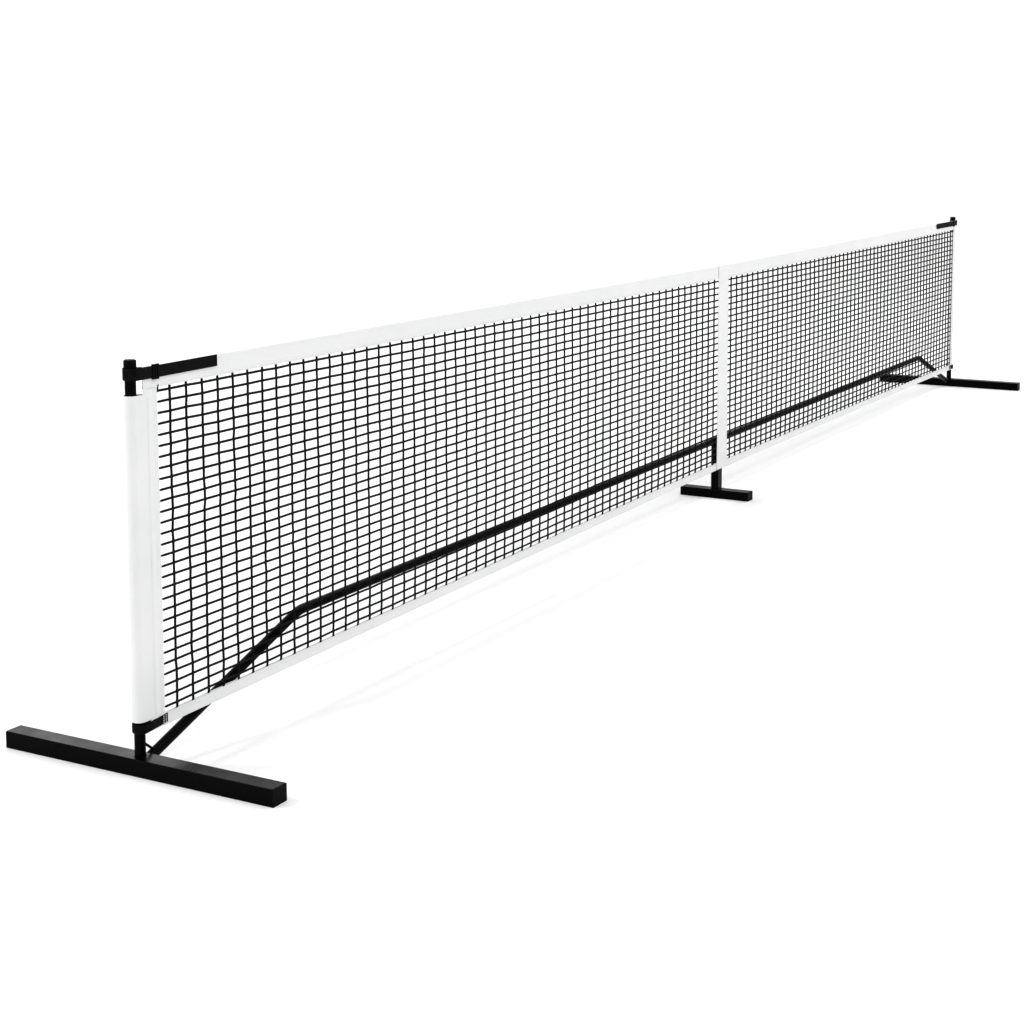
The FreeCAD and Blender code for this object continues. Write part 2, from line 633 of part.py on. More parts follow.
def centre_strap():
    """The strap over the middle of the mesh, and the sleeve behind it that takes the pole."""
    half = "dims.centre_strap_half"
    strap = extruded("middle_strap", "XZ_Plane", "dims.centre_strap_thickness", rectangle(
        f"-{half}", half, "dims.net_mid_low + 2", "dims.net_mid_top - 1"))
    keep("centre_strap", place(strap, y="-dims.net_offset - dims.centre_strap_front"))
    sleeve = turned("pole_sleeve_tube", tube_outline(
        "dims.pole_sleeve_low", "dims.pole_sleeve_high", "dims.pole_sleeve_inner", "dims.pole_sleeve_outer"))
    keep("pole_sleeve", upright(sleeve, y="-dims.pole_offset"))


def loop_space(name, radius, drop, low, height):
    """An upright slot shape round the post that reaches a little further towards the net plane."""
    on_post = cylinder(f"{name}_post_end", radius, height, x=LEFT_X, z=low)
    on_net = cylinder(f"{name}_net_end", radius, height, x=LEFT_X, y=f"-({drop})", z=low)
    between = box(
        f"{name}_between", (f"2 * ({radius})", drop, height), (f"{LEFT_X} - ({radius})", f"-({drop})", low))
    return fuse(name, on_post, on_net, between)


def webbing(label, size, reach):
    """A webbing loop round the post, run out along the front of a tape. size is the start of its cells."""
    front, low, height = (f"dims.{size}_{part}" for part in ("front", "low", "width"))
    outer = "dims.strap_loop + dims.strap_thickness"
    face_y = f"dims.net_offset + {front} + dims.strap_thickness / 2"
    drop = f"{face_y} - ({outer})"
    outside = loop_space(f"{label}_outside", outer, drop, low, height)
    inside = loop_space(f"{label}_inside", "dims.strap_loop", drop, low, height)
    loop = cut(f"{label}_loop", outside, inside)
    tail = box(f"{label}_tail", (reach, "dims.strap_thickness", height), (LEFT_X, f"-({face_y})", low))
    return fuse(f"{label}_webbing", loop, tail)


def strap_slider():
    """The adjuster on the upper webbing: a flat loop with two slots in its face."""
    middle_x = f"{LEFT_X} + dims.slider_place"
    middle_y = "(dims.net_offset + dims.top_strap_front)"
    middle_z = "(dims.top_strap_low + dims.top_strap_width / 2)"

    def centred(name, length, depth, height, shift_x="0", shift_y="0"):
        corner = (
            f"{middle_x} + {shift_x} - ({length}) / 2",
            f"-{middle_y} - {shift_y} - ({depth}) / 2",
            f"{middle_z} - ({height}) / 2",
        )
        return box(name, (length, depth, height), corner)

    block = centred("slider_block", "dims.slider_length", "dims.slider_depth", "dims.slider_height")
    way = "dims.strap_thickness + 2 * dims.slider_slack"
    window = "dims.top_strap_width + 2 * dims.slider_slack"
    openings = [centred("slider_way", "2 * dims.slider_length", way, window)]
    for side in ("-", ""):
        shift_x = f"{side}dims.slider_length / 5"
        openings.append(centred(
            f"slider_slot{len(openings)}", "dims.slider_slot", "dims.slider_depth", window,
            shift_x=shift_x, shift_y="dims.slider_depth / 2"))
    keep("left_strap_slider", cut("strap_slider", block, fuse("slider_openings", *openings)))


end_base()
rail_socket()
bent_rail()
level_rail("outer_rail", BEND_END, RAIL_JOINT, f"{RAIL_JOINT} - dims.button_inset")
level_rail("inner_rail", RAIL_JOINT, RAIL_END, COUPLER_BUTTON)
tube_joints()
post()
side_band()
keep("left_bottom_strap", webbing("bottom_strap", "low_strap", "dims.low_strap_reach"))
strap_slider()
for left_label in list(pieces):
    right_label = left_label.replace("left_", "right_")
    keep(right_label, mirrored(f"{right_label}_mirrored", pieces[left_label], X_AXIS))
keep("left_top_strap", webbing("top_strap", "top_strap", "dims.top_strap_reach"))
long_strap = webbing("long_top_strap", "top_strap", "dims.long_strap_reach")
keep("right_top_strap", mirrored("right_top_strap_mirrored", long_strap, X_AXIS))
centre_support()
net_tapes()
centre_strap()

doc.recompute()
broken = [item.Name for item in doc.Objects if {"Invalid", "Error"} & set(item.State)]
if broken:
    raise RuntimeError(f"objects that failed to build: {broken}")
for label, thing in pieces.items():
    if thing.Shape.isNull() or not thing.Shape.isValid() or not thing.Shape.Solids:
        raise RuntimeError(f"{label} has no valid solid")

os.makedirs("parts", exist_ok=True)
for label, thing in pieces.items():
    thing.Shape.exportStep(f"parts/{label}.step")
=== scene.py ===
"""Looks of the portable pickleball net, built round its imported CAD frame.

Everything is in metres in the frame's own axes: X runs along the net, Z is up, and the net hangs on the -Y
side of the tubes.
"""
import json
import math

import bpy
import numpy as np
from mathutils import Matrix, Vector


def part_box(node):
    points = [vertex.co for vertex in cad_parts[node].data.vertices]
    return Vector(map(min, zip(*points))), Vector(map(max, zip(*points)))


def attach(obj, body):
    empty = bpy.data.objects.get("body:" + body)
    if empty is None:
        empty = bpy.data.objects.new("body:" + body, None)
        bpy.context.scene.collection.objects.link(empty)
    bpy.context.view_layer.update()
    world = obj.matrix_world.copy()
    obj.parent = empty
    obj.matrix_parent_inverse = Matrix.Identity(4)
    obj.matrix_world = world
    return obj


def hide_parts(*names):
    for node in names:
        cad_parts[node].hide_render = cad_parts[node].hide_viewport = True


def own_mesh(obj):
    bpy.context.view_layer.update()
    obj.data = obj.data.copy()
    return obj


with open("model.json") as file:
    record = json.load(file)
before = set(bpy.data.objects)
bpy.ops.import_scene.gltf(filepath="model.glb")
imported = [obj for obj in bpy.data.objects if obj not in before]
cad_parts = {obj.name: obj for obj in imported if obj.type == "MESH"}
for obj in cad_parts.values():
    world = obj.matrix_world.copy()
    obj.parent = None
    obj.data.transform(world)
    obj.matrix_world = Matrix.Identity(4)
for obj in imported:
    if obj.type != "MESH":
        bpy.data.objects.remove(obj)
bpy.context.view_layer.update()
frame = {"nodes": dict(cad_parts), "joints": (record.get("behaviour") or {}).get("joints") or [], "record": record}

MM = 0.001
rng = np.random.RandomState(22)
SIDES = ("left", "right")


# ---------------------------------------------------------------------------------------------------------
# Sizes read from the frame
# ---------------------------------------------------------------------------------------------------------

def centre_of(node):
    low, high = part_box(node)
    return (Vector(low) + Vector(high)) / 2


POST_X = centre_of("right_post").x
POST_RADIUS = (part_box("right_post")[1][0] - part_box("right_post")[0][0]) / 2
TAPE_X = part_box("top_tape")[1][0]
BAND_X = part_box("right_side_band")[0][0]
NET_Y = centre_of("net_mesh").y
TAPE_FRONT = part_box("top_tape")[0][1]
TAPE_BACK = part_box("top_tape")[1][1]

TOP_TAPE = 48 * MM
LOW_TAPE = 28 * MM
TOP_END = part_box("top_tape")[1][2]
TOP_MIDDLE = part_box("top_tape")[0][2] + TOP_TAPE
LOW_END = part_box("bottom_tape")[0][2]
LOW_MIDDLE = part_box("bottom_tape")[1][2] - LOW_TAPE
SAG_POWER = 1.25

CORD_RADIUS = 3.0 * MM
ROWS = 30
COLUMNS = 116
FIRST_ROW = 10 * MM
LAST_ROW = 13 * MM
FIRST_COLUMN = 46 * MM

SLEEVE_TOP = 853 * MM
SEAM_REACH = 34 * MM


def top_edge(x):
    """Height of the net's top edge along the net."""
    return TOP_MIDDLE + (TOP_END - TOP_MIDDLE) * np.abs(x / TAPE_X) ** SAG_POWER


def low_edge(x):
    """Height of the net's lower edge along the net."""
    return LOW_MIDDLE + (LOW_END - LOW_MIDDLE) * np.abs(x / TAPE_X) ** SAG_POWER


def waves(values, longest, count=5, seed=0):
    """Smooth, repeatable noise between about -1 and 1 along one direction."""
    source = np.random.RandomState(seed)
    total = np.zeros_like(np.asarray(values, float))
    for i in range(count):
        length = longest / (1.7 ** i)
        total += np.sin(np.asarray(values) * 2 * math.pi / length + source.uniform(0, 7)) / (1.5 ** i)
    return total / 2


# ---------------------------------------------------------------------------------------------------------
# Materials
# ---------------------------------------------------------------------------------------------------------

BRAID_PITCH = 2.1 * MM
BRAID_LEAN = math.radians(32)
WEAVE_PITCH = 1.1 * MM
RIB_PITCH = 1.8 * MM
PICK_PITCH = 1.2 * MM
TWIST_PITCH = 0.7 * MM
TWIST_LEAN = math.radians(35)


class Look:
    """A Principled material with short helpers for its nodes."""

    def __init__(self, name, color, roughness, **sockets):
        self.material = bpy.data.materials.new(name)
        self.material.use_nodes = True
        self.material.diffuse_color = (*color, 1)
        self.tree = self.material.node_tree
        self.shader = self.tree.nodes["Principled BSDF"]
        self.shader.inputs["Base Color"].default_value = (*color, 1)
        self.shader.inputs["Roughness"].default_value = roughness
        for label, value in sockets.items():
            self.shader.inputs[label.replace("_", " ")].default_value = value
        self.height = None
        self.place = self.node("ShaderNodeTexCoord").outputs["Object"]

    def node(self, kind, **inputs):
        """A node with its inputs set or linked, their names written with _ for a space."""
        made = self.tree.nodes.new(kind)
        for label, value in inputs.items():
            self.feed(made.inputs[label.replace("_", " ")], value)
        return made

    def feed(self, socket, value):
        """Links a socket to another, or sets it to a plain value."""
        if isinstance(value, bpy.types.NodeSocket):
            self.tree.links.new(value, socket)
        else:
            socket.default_value = value

    def math(self, operation, *values):
        """The result of a math node."""
        made = self.tree.nodes.new("ShaderNodeMath")
        made.operation = operation
        for socket, value in zip(made.inputs, values):
            self.feed(socket, value)
        return made.outputs[0]

    def noise(self, scale, detail=3.0, stretch=(1, 1, 1), roughness=0.5):
        """Solid noise in the piece's own axes."""
        moved = self.node("ShaderNodeMapping", Vector=self.place, Scale=stretch)
        return self.node(
            "ShaderNodeTexNoise", Vector=moved.outputs[0], Scale=scale, Detail=detail, Roughness=roughness
        ).outputs["Fac"]

    def ridges(self, axis, pitch, turn=(0, 0, 0)):
        """Rounded ridges, from 0 to 1, that follow one another along an axis at that pitch."""
        moved = self.node("ShaderNodeMapping", Vector=self.place, Rotation=turn)
        parts = self.node("ShaderNodeSeparateXYZ", Vector=moved.outputs[0])
        wave = self.math("SINE", self.math("MULTIPLY", parts.outputs[axis], 2 * math.pi / pitch))
        return self.math("MULTIPLY_ADD", wave, 0.5, 0.5)

    def ramp(self, value, low, high, from_low=0.3, from_high=0.7):
        """Spreads a value between two others, with the ends held."""
        made = self.node("ShaderNodeMapRange", Value=value, From_Min=from_low, From_Max=from_high)
        made.inputs["To Min"].default_value = low
        made.inputs["To Max"].default_value = high
        return made.outputs[0]

    def mix_color(self, factor, first, second):
        """Makes the base colour a mix of two."""
        made = self.tree.nodes.new("ShaderNodeMix")
        made.data_type = "RGBA"
        self.feed(made.inputs["Factor"], factor)
        self.feed(made.inputs["A"], (*first, 1))
        self.feed(made.inputs["B"], (*second, 1))
        self.feed(self.shader.inputs["Base Color"], made.outputs["Result"])

    def bump(self, height, depth, strength=1.0):
        """Adds relief of a real depth in metres on top of what is there."""
        made = self.node("ShaderNodeBump", Height=height, Strength=strength, Distance=depth)
        if self.height is not None:
            self.tree.links.new(self.height, made.inputs["Normal"])
        self.height = made.outputs[0]
        self.feed(self.shader.inputs["Normal"], self.height)

    def rough(self, value, low, high):
        """Lets the roughness follow a value."""
        self.feed(self.shader.inputs["Roughness"], self.ramp(value, low, high))


def powder_coat():
    """Satin black powder coat: fine orange peel, faint scuffs."""
    look = Look("powder_coat", (0.001, 0.001, 0.0012), 0.3, Specular_IOR_Level=0.05)
    patches = look.noise(14, 4)
    scuffs = look.noise(60, 6, stretch=(1, 0.15, 1), roughness=0.7)
    look.mix_color(look.ramp(scuffs, 0, 1, 0.6, 0.8), (0.0008, 0.0008, 0.001), (0.003, 0.003, 0.0033))
    look.rough(patches, 0.25, 0.36)
    look.bump(look.noise(700, 2), 0.08 * MM, 0.6)
    return look.material


def moulded_plastic(name, roughness, grain):
    """Black moulded plastic with a fine grain."""
    look = Look(name, (0.0012, 0.0012, 0.0014), roughness, Specular_IOR_Level=0.06)
    look.rough(look.noise(40, 3), roughness - 0.06, roughness + 0.08)
    look.bump(look.noise(grain, 4), 0.06 * MM, 0.5)
    return look.material


def soft_rubber():
    """Dull black rubber."""
    look = Look("soft_rubber", (0.008, 0.008, 0.008), 0.75, Specular_IOR_Level=0.2)
    look.bump(look.noise(900, 3), 0.1 * MM, 0.5)
    look.rough(look.noise(80, 3), 0.68, 0.85)
    return look.material


def bright_steel():
    """Plain steel with faint wear."""
    look = Look("bright_steel", (0.56, 0.56, 0.57), 0.28, Metallic=1.0)
    look.rough(look.noise(400, 3), 0.22, 0.38)
    look.bump(look.noise(1200, 2), 0.02 * MM, 0.4)
    return look.material


def braided_cord(name, axis):
    """Black braid: two families of strands that cross along the cord, with painted highlight on the strands'
    crowns and painted shade in the grooves between them.
    """
    look = Look(name, (0.003, 0.003, 0.0035), 0.62, Specular_IOR_Level=0.07)
    lean = Vector((0, 0, BRAID_LEAN)) if axis == 0 else Vector((BRAID_LEAN, 0, 0))
    first = look.ridges(axis, BRAID_PITCH, lean)
    second = look.ridges(axis, BRAID_PITCH, -lean)
    strands = look.math("MAXIMUM", first, second)
    # Painted highlight and painted shade: the base colour is lighter on the strands' crowns and darker in the
    # grooves, following the same ridges as the bump.
    look.mix_color(strands, (0.001, 0.001, 0.0015), (0.012, 0.012, 0.0125))
    look.rough(look.noise(300, 2), 0.55, 0.75)
    look.bump(strands, 0.35 * MM, 0.9)
    return look.material


def white_fabric(name, shade):
    """White coated polyester: a fine plain weave, soft creases and slight greying."""
    look = Look(name, (shade, shade, shade), 0.6, Specular_IOR_Level=0.3, Sheen_Weight=0.08)
    warp = look.ridges(0, WEAVE_PITCH)
    weft = look.ridges(2, WEAVE_PITCH)
    weave = look.math("MULTIPLY", warp, weft)
    patches = look.noise(5, 5, roughness=0.6)
    grey = (shade * 0.93, shade * 0.935, shade * 0.94)
    look.mix_color(look.ramp(patches, 0, 1, 0.25, 0.75), grey, (shade, shade, shade))
    look.rough(look.noise(90, 3), 0.52, 0.7)
    look.bump(look.noise(26, 3, stretch=(1, 1, 0.5)), 1.2 * MM, 0.35)
    look.bump(weave, 0.12 * MM, 0.6)
    return look.material


def black_webbing():
    """Black polyester webbing: ribs along the strap with a cross weave, with painted highlight where the weave
    stands up and painted shade in its grooves.
    """
    look = Look("black_webbing", (0.003, 0.003, 0.003), 0.7, Specular_IOR_Level=0.08)
    ribs = look.ridges(2, RIB_PITCH)
    picks = look.ridges(0, PICK_PITCH)
    weave = look.math("MULTIPLY", ribs, picks)
    # Painted highlight and painted shade: the base colour follows the weave's relief, lighter on its crowns and
    # darker in its grooves.
    look.mix_color(weave, (0.001, 0.001, 0.001), (0.014, 0.014, 0.0145))
    look.rough(look.noise(200, 2), 0.6, 0.82)
    look.bump(weave, 0.4 * MM, 0.9)
    return look.material


def sewing_thread(name, shade):
    """Twisted thread, with painted shade in the grooves of the twist."""
    look = Look(name, (shade, shade, shade), 0.5, Sheen_Weight=0.2)
    twist = look.ridges(0, TWIST_PITCH, (0, TWIST_LEAN, 0))
    # Painted shade: the base colour is darker in the twist's grooves, following the same ridges as the bump.
    look.mix_color(twist, (shade * 0.8,) * 3, (shade,) * 3)
    look.bump(twist, 0.1 * MM, 0.8)
    return look.material


def pale_floor():
    """A nearly white floor."""
    look = Look("pale_floor", (0.9, 0.9, 0.9), 0.9, Specular_IOR_Level=0.05)
    look.mix_color(look.noise(0.6, 2), (0.89, 0.89, 0.89), (0.9, 0.9, 0.9))
    return look.material


LOOKS = {
    "coat": powder_coat(),
    "cap": moulded_plastic("cap_plastic", 0.5, 1400),
    "slider": moulded_plastic("slider_plastic", 0.28, 2400),
    "rubber": soft_rubber(),
    "steel": bright_steel(),
    "cord_x": braided_cord("braided_cord_across", 0),
    "cord_z": braided_cord("braided_cord_upright", 2),
    "white": white_fabric("white_tape", 0.735),
    "webbing": black_webbing(),
    "white_thread": sewing_thread("white_thread", 0.72),
    "pale_thread": sewing_thread("pale_thread", 0.85),
    "black_thread": sewing_thread("black_thread", 0.012),
    "floor": pale_floor(),
}

NODE_LOOKS = {
    "frame_steel": "coat",
    "cap_plastic": "cap",
    "pole_tip_rubber": "rubber",
    "button_steel": "steel",
    "spring_steel": "steel",
    "slider_plastic": "slider",
    "mesh_cord": "cord_x",
    "white_tape": "white",
    "black_webbing": "webbing",
}


def dress_frame():
    """Gives every CAD node its material."""
    for part in frame["record"]["subparts"]:
        node = frame["nodes"][part["node"]]
        node.data.materials.clear()
        node.data.materials.append(LOOKS[NODE_LOOKS[part["material_slot"]]])


# ---------------------------------------------------------------------------------------------------------
# Mesh helpers
# ---------------------------------------------------------------------------------------------------------

def add_piece(name, vertices, faces, look, body, smooth_angle=40):
    """Makes a mesh piece that rides on a CAD body."""
    mesh = bpy.data.meshes.new(name)
    mesh.from_pydata([tuple(v) for v in vertices], [], [tuple(f) for f in faces])
    mesh.validate()
    mesh.update()
    piece = bpy.data.objects.new(name, mesh)
    bpy.context.scene.collection.objects.link(piece)
    mesh.materials.append(LOOKS[look])
    mesh.shade_smooth()
    mesh.set_sharp_from_angle(angle=math.radians(smooth_angle))
    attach(piece, body)
    return piece


def joined(parts):
    """Joins (vertices, faces) pairs into one."""
    vertices, faces, offset = [], [], 0
    for part_vertices, part_faces in parts:
        vertices.append(np.asarray(part_vertices, float).reshape(-1, 3))
        faces.extend([[i + offset for i in face] for face in part_faces])
        offset += len(vertices[-1])
    return np.vstack(vertices), faces


def loft(loops, closed=False):
    """Skins closed loops of points, an array of (stations, points, 3), with flat ends unless it closes."""
    loops = np.asarray(loops, float)
    stations, count, _ = loops.shape
    index = np.arange(stations * count).reshape(stations, count)
    ahead = np.roll(index, -1, axis=1)
    rows = [(index[s], ahead[s], index[s + 1], ahead[s + 1]) for s in range(stations - 1)]
    if closed:
        rows.append((index[-1], ahead[-1], index[0], ahead[0]))
    faces = []
    for here, here_next, there, there_next in rows:
        faces.extend(np.stack([here, here_next, there_next, there], axis=1).tolist())
    if not closed:
        faces.append(index[0][::-1].tolist())
        faces.append(index[-1].tolist())
    return loops.reshape(-1, 3), faces


def thickened(path, thickness):
    """Closed outline round a 2-D path, half the thickness to each side, with rounded ends."""
    path = np.asarray(path, float)
    along = np.gradient(path, axis=0)
    along /= np.linalg.norm(along, axis=1)[:, None]
    normal = np.stack([-along[:, 1], along[:, 0]], axis=1)
    half = thickness / 2
    left = path + normal * half
    right = path - normal * half
    start_nose = path[:1] - along[:1] * half
    end_nose = path[-1:] + along[-1:] * half
    return np.vstack([left, end_nose, right[::-1], start_nose])


def arc_points(centre, radius, start, end, count):
    """Points of an arc, angles in degrees."""
    angles = np.radians(np.linspace(start, end, count))
    return np.stack([centre[0] + radius * np.cos(angles), centre[1] + radius * np.sin(angles)], axis=1)


def even(points, step):
    """The same 2-D path with points at an even step, ends kept."""
    points = np.asarray(points, float)
    lengths = np.concatenate([[0], np.cumsum(np.linalg.norm(np.diff(points, axis=0), axis=1))])
    wanted = np.linspace(0, lengths[-1], max(2, int(round(lengths[-1] / step)) + 1))
    return np.stack([np.interp(wanted, lengths, points[:, i]) for i in range(2)], axis=1)


def stitch_row(starts, ends, outward, width=0.8 * MM, proud=0.35 * MM):
    """Stitches as small pointed beads from each start to each end, standing out along a direction."""
    starts, ends = np.asarray(starts, float), np.asarray(ends, float)
    outward = np.asarray(outward, float)
    along = ends - starts
    across = np.cross(along, outward)
    across *= (width / 2) / np.linalg.norm(across, axis=1)[:, None]
    vertices, faces = [], []
    for share in (0.22, 0.78):
        middle = starts + along * share
        vertices += [middle + across, middle + outward * proud]
        vertices += [middle - across, middle - outward * 2 * proud]
    points = np.stack([starts - outward * proud, *vertices, ends - outward * proud], axis=1)
    ring = [(1, 2, 6, 5), (2, 3, 7, 6), (3, 4, 8, 7), (4, 1, 5, 8)]
    tips = [(0, 2, 1), (0, 3, 2), (0, 4, 3), (0, 1, 4), (9, 5, 6), (9, 6, 7), (9, 7, 8), (9, 8, 5)]
    for i in range(len(points)):
        faces.extend([[10 * i + corner for corner in face] for face in ring + tips])
    return points.reshape(-1, 3), faces


def stitches_along(points, outward, pitch=6 * MM, fill=0.72):
    """A row of stitches along a 3-D path, with its ends a little inside the path's ends."""
    points = np.asarray(points, float)
    lengths = np.concatenate([[0], np.cumsum(np.linalg.norm(np.diff(points, axis=0), axis=1))])
    count = int(lengths[-1] / pitch)
    begin = (np.arange(count) + (1 - fill) / 2) * pitch
    starts = np.stack([np.interp(begin, lengths, points[:, i]) for i in range(3)], axis=1)
    ends = np.stack([np.interp(begin + fill * pitch, lengths, points[:, i]) for i in range(3)], axis=1)
    return stitch_row(starts, ends, outward)


# ---------------------------------------------------------------------------------------------------------
# Mesh of cords
# ---------------------------------------------------------------------------------------------------------

CORD_SIDES = 6
KNOT_SWELL = 0.15
KNOT_REACH = 4.5 * MM
TUCK = 6 * MM
BELLY = 5 * MM
KNOT_DRIFT = 0.7
COLUMN_SWAY = 1.2 * MM


def billow(x, z):
    """How far the loose mesh bellies out in front of its plane."""
    height = (z - low_edge(x)) / (top_edge(x) - low_edge(x))
    hold = np.clip(4 * height * (1 - height), 0, 1) ** 0.8
    ends = np.clip((BAND_X - np.abs(x)) / 0.5, 0, 1) * np.clip((np.abs(x) - 0.05) / 0.4, 0, 1)
    shape = 0.6 + 0.4 * waves(x, 2.3, 3, seed=4) + 0.2 * waves(z, 0.9, 2, seed=8)
    return BELLY * hold * ends * shape


def columns():
    """X of each upright cord."""
    edge = BAND_X - FIRST_COLUMN
    return np.linspace(-edge, edge, COLUMNS)


def row_height(x, row):
    """Height of a level cord, counted from the top."""
    top = top_edge(x) - TOP_TAPE - FIRST_ROW
    low = low_edge(x) + LOW_TAPE + LAST_ROW
    return top + (low - top) * row / (ROWS - 1)


KNOT_SHIFT = rng.uniform(-KNOT_DRIFT, KNOT_DRIFT, (ROWS, COLUMNS, 2)) * MM


def knots():
    """Where every row crosses every column, as an array of (rows, columns, 3)."""
    x = np.tile(columns(), (ROWS, 1))
    x += COLUMN_SWAY * waves(np.arange(ROWS)[:, None] + 0 * x, 9, 3, seed=3) * np.sign(x + 1e-9)
    z = np.stack([row_height(x[row], row) for row in range(ROWS)])
    x = x + KNOT_SHIFT[..., 0]
    z = z + KNOT_SHIFT[..., 1]
    y = NET_Y - billow(x, z)
    return np.stack([x, y, z], axis=-1)


def cord_tubes(lines, sections):
    """Tubes round many polylines at once. sections are the two directions that span each cross-section."""
    first, second = sections
    angles = 2 * math.pi * (np.arange(CORD_SIDES) + 0.5) / CORD_SIDES
    ring = np.outer(np.cos(angles), first) + np.outer(np.sin(angles), second)
    return joined([loft(points[:, None, :] + radii[:, None, None] * ring) for points, radii in lines])


def cord_line(crossings, start, end):
    """A cord's points and radii: straight between crossings, thick at each one, thin where it is sewn in."""
    along = crossings[1] - crossings[0]
    along /= np.linalg.norm(along)
    points = [start, start + (crossings[0] - start) * 0.35]
    radii = [CORD_RADIUS * 0.5, CORD_RADIUS]
    for crossing in crossings:
        for step, swell in ((-KNOT_REACH, 0), (0, KNOT_SWELL), (KNOT_REACH, 0)):
            points.append(crossing + along * step)
            radii.append(CORD_RADIUS * (1 + swell))
    points += [end + (crossings[-1] - end) * 0.35, end]
    radii += [CORD_RADIUS, CORD_RADIUS * 0.5]
    return np.array(points), np.array(radii)


def corner_tie(sign):
    """The short end of cord that ties the mesh to the corner where the band meets the top tape."""
    x = sign * (BAND_X - 2 * MM)
    z = row_height(x, 0)
    rises = (-3 * MM, 4 * MM, 13 * MM, 15 * MM)
    points = np.array([(x, NET_Y - 1.5 * MM, z + rise) for rise in rises])
    points[:, 0] += sign * np.array([0, 0, -2, -3]) * MM
    return points, CORD_RADIUS * np.array([0.7, 1.15, 1.0, 0.5])


def make_mesh():
    """The knotless mesh, each half of it in level and upright cords."""
    crossings = knots()
    x_of = columns()
    for side in SIDES:
        sign = -1 if side == "left" else 1
        inside = np.nonzero(x_of * sign > 0)[0]
        level = []
        for row in range(ROWS):
            middle = np.array([0, NET_Y, row_height(0.0, row)])
            band_x = sign * (BAND_X + TUCK)
            band = np.array([band_x, NET_Y, row_height(band_x, row)])
            ends = (band, middle) if sign < 0 else (middle, band)
            level.append(cord_line(crossings[row, inside], *ends))
        upright = []
        for column in inside:
            x = x_of[column]
            top = np.array([x, NET_Y, top_edge(x) - TOP_TAPE + TUCK])
            low = np.array([x, NET_Y, low_edge(x) + LOW_TAPE - TUCK])
            upright.append(cord_line(crossings[:, column], top, low))
        upright.append(corner_tie(sign))
        across = cord_tubes(level, ((0, 1, 0), (0, 0, 1)))
        down = cord_tubes(upright, ((1, 0, 0), (0, 1, 0)))
        vertices, faces = joined([across, down])
        piece = add_piece(f"{side}_mesh", vertices, faces, "cord_x", "net", 80)
        piece.data.materials.append(LOOKS["cord_z"])
        is_down = np.zeros(len(piece.data.polygons), dtype=np.int32)
        is_down[len(across[1]):] = 1
        piece.data.polygons.foreach_set("material_index", is_down)
        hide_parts("net_mesh")


# ---------------------------------------------------------------------------------------------------------
# Tapes, side bands and centre strap
# ---------------------------------------------------------------------------------------------------------

CLOTH = 0.8 * MM
LIP_REACH = 9 * MM
LIP_FLARE = 2.0 * MM
LIP_WAVE = 0.9 * MM
TAPE_SWAY = 0.5 * MM
TOP_SEAM = 0.86


def lip_flare(distance):
    """How far a tape's lip opens over the cords, by the distance from its edge."""
    return LIP_FLARE * np.clip(1 - distance / LIP_REACH, 0, 1) ** 2


def folded_profile(height, gap, fold_up):
    """Section (y, z) of a strip folded over the net's edge, from one lip over the fold to the other lip."""
    half = gap / 2
    turn = arc_points((0, height - half), half, 180, 0, 7)
    side_steps = np.linspace(0, height - half, 6)[:-1]
    front = np.stack([np.full(5, -half), side_steps], axis=1)
    back = np.stack([np.full(5, half), side_steps[::-1]], axis=1)
    profile = np.vstack([front, turn, back])
    if not fold_up:
        profile[:, 1] = height - profile[:, 1]
    return thickened(profile, CLOTH)


def make_tape(node, name, height, edge_of, fold_up, seed):
    """A strip folded over an edge of the mesh, with rows of stitches near its lips and its fold."""
    gap = TAPE_BACK - TAPE_FRONT - CLOTH
    profile = folded_profile(height, gap, fold_up)
    stations = np.linspace(-TAPE_X, TAPE_X, 560)
    base_z = edge_of(stations) - (height if fold_up else 0)
    sway = TAPE_SWAY * waves(stations, 0.9, 5, seed)
    lip = (1 - profile[:, 1] / height) if fold_up else profile[:, 1] / height
    lip_wave = LIP_WAVE * waves(stations, 0.16, 4, seed + 1)
    loops = np.zeros((len(stations), len(profile), 3))
    loops[..., 0] = stations[:, None]
    sewn = np.clip((TAPE_X - np.abs(stations)) / (15 * MM), 0.45, 1)
    from_lip = profile[:, 1] if fold_up else height - profile[:, 1]
    side_y = profile[:, 0] + np.sign(profile[:, 0]) * lip_flare(from_lip)
    loops[..., 1] = NET_Y + side_y[None, :] * sewn[:, None] + sway[:, None] * 0.4
    loops[..., 2] = base_z[:, None] + profile[None, :, 1] + (lip_wave[:, None] * lip[None, :]) * 0.6
    vertices, faces = loft(loops)
    piece = add_piece(name, vertices, faces, "white", "net", 60)
    rows = []
    for share in (LIP_REACH / height, TOP_SEAM):
        for face, outward in ((TAPE_FRONT, (0, -1, 0)), (TAPE_BACK, (0, 1, 0))):
            z = base_z + (height * share if fold_up else height * (1 - share))
            line = np.stack([stations, np.full_like(stations, face) + sway * 0.4, z], axis=1)[2:-2]
            rows.append(stitches_along(line, outward))
    vertices, faces = joined(rows)
    seam = add_piece(f"{name}_stitching", vertices, faces, "white_thread", "net", 180)
    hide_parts(node)


FLAP_START = 19 * MM
SLEEVE_CLOTH = 1.6 * MM
BAND_RIPPLE = 0.35 * MM
BAND_PULL = 0.8 * MM
EDGE_PULL_REACH = 12 * MM


def touch_angle(seam_x, y, radius, turn):
    """Where a straight run from the seam meets the sleeve's round as a tangent, in degrees."""
    reach = math.hypot(seam_x + POST_X, y)
    return math.degrees(math.atan2(y, seam_x + POST_X) + turn * math.acos(radius / reach))


